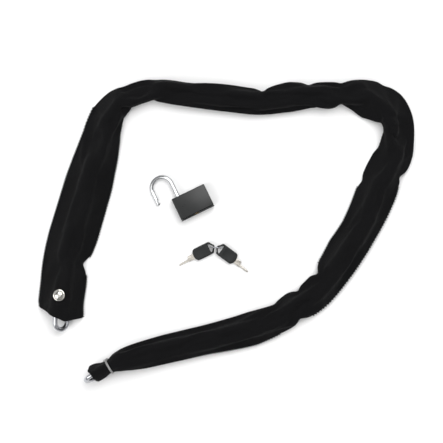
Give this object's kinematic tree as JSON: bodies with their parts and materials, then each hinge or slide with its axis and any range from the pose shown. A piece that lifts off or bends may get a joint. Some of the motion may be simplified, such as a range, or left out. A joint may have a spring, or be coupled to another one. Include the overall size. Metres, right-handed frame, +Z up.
{
  "type": "chain lock",
  "caption": "Round-link security chain in a black fabric sleeve, laid in an open loop round an open padlock and a pair of keys on a wire ring.",
  "frame": {"origin": "on the surface that the set lies on, under the middle of the set's bounding box", "axes": "+Z up from the surface. +X runs along the long side of the laid-out loop, from the sleeve's open end with the rivet towards the second corner. +Y runs from the tied end towards the top run"},
  "size_m": [0.4552, 0.373, 0.0326],
  "materials": {
    "zinc_steel": "bright zinc plate with wear in the crooks",
    "chrome": "polished plate",
    "nickel": "polished nickel plate",
    "brass": "machined",
    "spring_steel": "drawn wire",
    "key_steel": "stamped and tumbled",
    "black_cloth": "close woven synthetic, matt with a faint sheen",
    "grey_cord": "waxed binding cord",
    "black_enamel": "satin black enamel",
    "black_plastic": "fine moulded grain"
  },
  "bodies": {
    "first_end_link": {"chain_link_01": "zinc_steel"},
    "open_end": {"chain_link_02": "zinc_steel", "chain_link_03": "zinc_steel", "chain_link_04": "zinc_steel", "sleeve_section_1": "black_cloth", "rivet_cap": "nickel", "rivet_washer": "nickel"},
    "first_corner": {"chain_link_05": "zinc_steel", "chain_link_06": "zinc_steel", "chain_link_07": "zinc_steel", "chain_link_08": "zinc_steel", "chain_link_09": "zinc_steel", "sleeve_section_2": "black_cloth"},
    "top_run": {"chain_link_10": "zinc_steel", "chain_link_11": "zinc_steel", "chain_link_12": "zinc_steel", "chain_link_13": "zinc_steel", "sleeve_section_3": "black_cloth"},
    "second_corner": {"chain_link_14": "zinc_steel", "chain_link_15": "zinc_steel", "chain_link_16": "zinc_steel", "chain_link_17": "zinc_steel", "chain_link_18": "zinc_steel", "sleeve_section_4": "black_cloth"},
    "right_run": {"chain_link_19": "zinc_steel", "chain_link_20": "zinc_steel", "chain_link_21": "zinc_steel", "chain_link_22": "zinc_steel", "sleeve_section_5": "black_cloth"},
    "lower_run": {"chain_link_23": "zinc_steel", "chain_link_24": "zinc_steel", "chain_link_25": "zinc_steel", "chain_link_26": "zinc_steel", "chain_link_27": "zinc_steel", "sleeve_section_6": "black_cloth"},
    "tied_end": {"chain_link_28": "zinc_steel", "sleeve_tied_end": "black_cloth", "sleeve_tie": "grey_cord"},
    "padlock_case": {"lock_body": "black_enamel", "base_plate": "black_enamel", "shackle_spring": "spring_steel", "bolt_spring": "spring_steel", "pin_spring_1": "spring_steel", "pin_spring_2": "spring_steel", "pin_spring_3": "spring_steel"},
    "heel_follower": {"spring_follower": "zinc_steel"},
    "shackle": {"shackle": "chrome"},
    "plug": {"plug": "brass"},
    "locking_bolt": {"locking_bolt": "zinc_steel"},
    "ring": {"key_ring": "zinc_steel"},
    "key_a": {"key_a_blade": "key_steel", "key_a_head": "black_plastic"},
    "key_b": {"key_b_blade": "key_steel", "key_b_head": "black_plastic"},
    "driver_pin_1": {"driver_pin_1": "zinc_steel"},
    "key_pin_1": {"key_pin_1": "brass"},
    "driver_pin_2": {"driver_pin_2": "zinc_steel"},
    "key_pin_2": {"key_pin_2": "brass"},
    "driver_pin_3": {"driver_pin_3": "zinc_steel"},
    "key_pin_3": {"key_pin_3": "brass"}
  },
  "joints": [
    {"name": "top_left_bend", "type": "hinge", "parent": "top_run", "child": "first_corner", "pos_m": [-0.04142, 0.16808, 0.0116], "axis": [0, 0, 1], "range_deg": [-20, 4]},
    {"name": "left_bend", "type": "hinge", "parent": "first_corner", "child": "open_end", "pos_m": [-0.17074, 0.04793, 0.0116], "axis": [0, 0, -1], "range_deg": [-12, 20]},
    {"name": "end_link_swing", "type": "hinge", "parent": "open_end", "child": "first_end_link", "pos_m": [-0.19981, -0.07266, 0.0116], "axis": [0, 0, 1], "range_deg": [-10, 8]},
    {"name": "top_right_bend", "type": "hinge", "parent": "top_run", "child": "second_corner", "pos_m": [0.12332, 0.16661, 0.0116], "axis": [0, 0, -1], "range_deg": [-20, 4]},
    {"name": "right_bend", "type": "hinge", "parent": "second_corner", "child": "right_run", "pos_m": [0.17335, 0.02391, 0.0116], "axis": [0, 0, 1], "range_deg": [-5, 20]},
    {"name": "lower_right_bend", "type": "hinge", "parent": "right_run", "child": "lower_run", "pos_m": [0.06938, -0.1016, 0.0116], "axis": [0, 0, -1], "range_deg": [-20, 8]},
    {"name": "tied_end_bend", "type": "hinge", "parent": "lower_run", "child": "tied_end", "pos_m": [-0.12998, -0.15703, 0.01601], "axis": [0, 0, 1], "range_deg": [-15, 20]},
    {"name": "padlock_lift", "type": "slide", "parent": "top_run", "child": "padlock_case", "axis": [0, 0, 1], "range_m": [0, 0.15]},
    {"name": "shackle_press", "type": "slide", "parent": "padlock_case", "child": "heel_follower", "axis": [0.4368, -0.8996, 0], "range_m": [0, 0.0115], "stiffness_N_per_m": 300, "springref_m": -0.003, "deforming": ["shackle_spring"]},
    {"name": "shackle_swing", "type": "hinge", "parent": "heel_follower", "child": "shackle", "pos_m": [-0.05229, 0.03012, 0.007], "axis": [-0.4368, 0.8996, 0], "range_deg": [0, 189.4]},
    {"name": "plug_turn", "type": "hinge", "parent": "padlock_case", "child": "plug", "pos_m": [-0.0424, 0.03493, 0.007], "axis": [0.4368, -0.8996, 0], "range_deg": [0, 90]},
    {"name": "bolt_draw", "type": "slide", "parent": "padlock_case", "child": "locking_bolt", "axis": [-0.8996, -0.4368, 0], "range_m": [0, 0.002], "deforming": ["bolt_spring"]},
    {"name": "driver_pin_1_lift", "type": "slide", "parent": "padlock_case", "child": "driver_pin_1", "axis": [-0.8996, -0.4368, 0], "range_m": [-0.0008, 0], "stiffness_N_per_m": 80, "springref_m": 0.001, "deforming": ["pin_spring_1"]},
    {"name": "driver_pin_2_lift", "type": "slide", "parent": "padlock_case", "child": "driver_pin_2", "axis": [-0.8996, -0.4368, 0], "range_m": [-0.0008, 0], "stiffness_N_per_m": 80, "springref_m": 0.001, "deforming": ["pin_spring_2"]},
    {"name": "driver_pin_3_lift", "type": "slide", "parent": "padlock_case", "child": "driver_pin_3", "axis": [-0.8996, -0.4368, 0], "range_m": [-0.0008, 0], "stiffness_N_per_m": 80, "springref_m": 0.001, "deforming": ["pin_spring_3"]},
    {"name": "key_pin_1_lift", "type": "slide", "parent": "plug", "child": "key_pin_1", "axis": [-0.8996, -0.4368, 0], "range_m": [-0.0008, 0]},
    {"name": "key_pin_2_lift", "type": "slide", "parent": "plug", "child": "key_pin_2", "axis": [-0.8996, -0.4368, 0], "range_m": [-0.0008, 0]},
    {"name": "key_pin_3_lift", "type": "slide", "parent": "plug", "child": "key_pin_3", "axis": [-0.8996, -0.4368, 0], "range_m": [-0.0008, 0]},
    {"name": "keys_lift", "type": "slide", "parent": "top_run", "child": "ring", "axis": [0, 0, 1], "range_m": [0, 0.15]},
    {"name": "key_a_swing", "type": "hinge", "parent": "ring", "child": "key_a", "pos_m": [-0.0122, -0.0186, 0.00835], "axis": [0.0872, 0.9962, 0], "range_deg": [0, 80]},
    {"name": "key_b_swing", "type": "hinge", "parent": "ring", "child": "key_b", "pos_m": [-0.0122, -0.0186, 0.00835], "axis": [-0.0872, -0.9962, 0], "range_deg": [0, 80]}
  ],
  "couplings": [
    {"joint": "plug_turn", "follows": "bolt_draw", "rad_per_m": 785.39},
    {"joint": "key_pin_1_lift", "follows": "driver_pin_1_lift", "ratio": 1},
    {"joint": "key_pin_2_lift", "follows": "driver_pin_2_lift", "ratio": 1},
    {"joint": "key_pin_3_lift", "follows": "driver_pin_3_lift", "ratio": 1}
  ]
}
